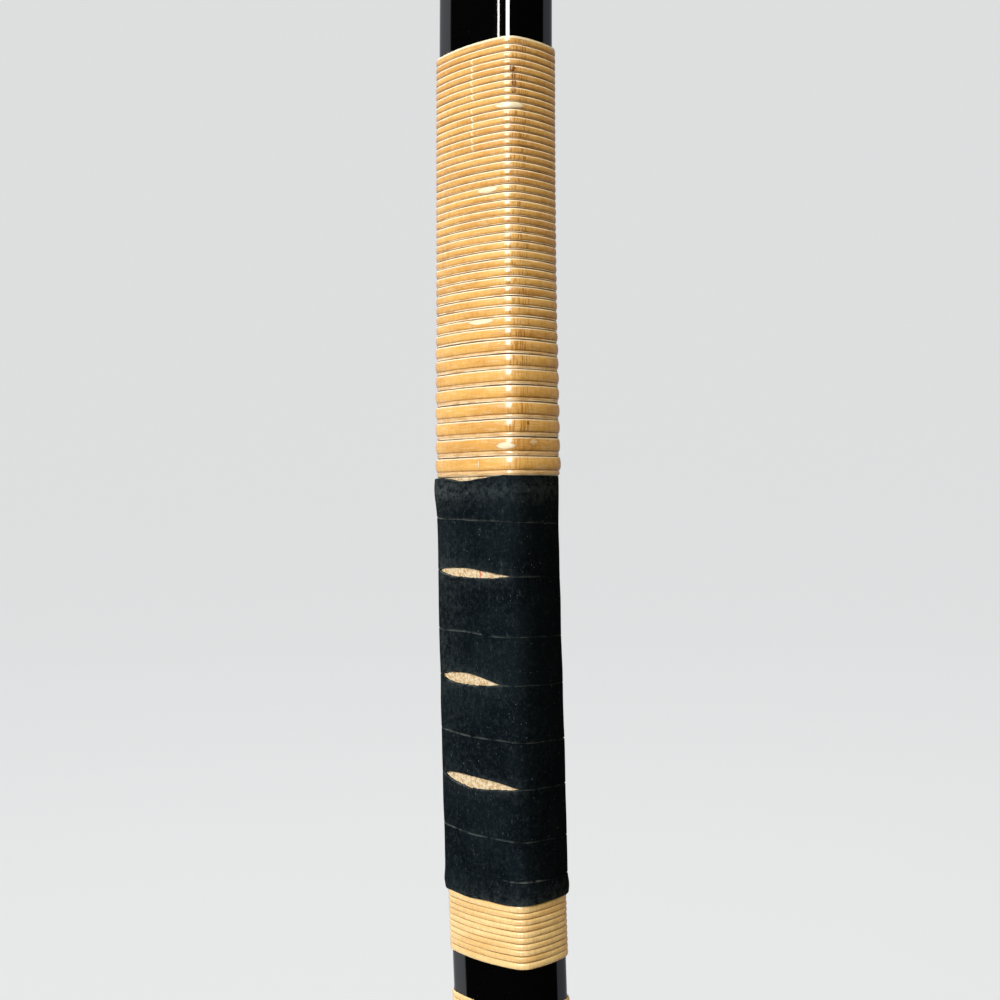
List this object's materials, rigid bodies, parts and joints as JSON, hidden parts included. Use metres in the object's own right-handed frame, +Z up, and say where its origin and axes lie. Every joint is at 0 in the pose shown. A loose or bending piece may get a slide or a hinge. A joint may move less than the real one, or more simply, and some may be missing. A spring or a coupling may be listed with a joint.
{
  "type": "japanese longbow stave",
  "caption": "Tall laminated bamboo longbow, unstrung, black lacquered, with an off-centre leather grip, a rattan arrow pass above it and round nocks at both tips.",
  "frame": {"origin": "middle of the grip, in the middle of the stave's section", "axes": "+Z up along the stave at the grip, -Y out of the belly face towards the archer, +Y towards the tips' back curve, +X to the arrow's side"},
  "size_m": [0.0339, 0.2741, 2.1874],
  "materials": {
    "back_bamboo": "bare under the lacquer",
    "belly_bamboo": "bare under the lacquer",
    "side_wood": "bare under the lacquer",
    "core_wood": "bare, charred bamboo",
    "end_block_wood": "black lacquered hardwood",
    "lacquer": "black gloss lacquer",
    "cork": "matte cork sheet",
    "leather": "matte black deerskin",
    "pass_rattan": "varnished golden rattan",
    "fine_rattan": "varnished pale rattan"
  },
  "bodies": {
    "root": {"back_bamboo": "back_bamboo", "belly_bamboo": "belly_bamboo", "side_wood_left": "side_wood", "side_wood_right": "side_wood", "core_strip_1": "core_wood", "core_strip_2": "core_wood", "core_strip_3": "core_wood", "core_strip_4": "core_wood", "upper_end_block": "end_block_wood", "lower_end_block": "end_block_wood", "lacquer_coat": "lacquer", "cork_sheet": "cork", "leather_strip": "leather", "arrow_pass_rattan": "pass_rattan", "below_grip_rattan": "fine_rattan", "small_ring_rattan": "fine_rattan", "upper_splice_rattan": "fine_rattan", "lower_splice_rattan": "fine_rattan", "sun_ring_rattan": "fine_rattan", "moon_ring_rattan": "fine_rattan"}
  },
  "joints": []
}
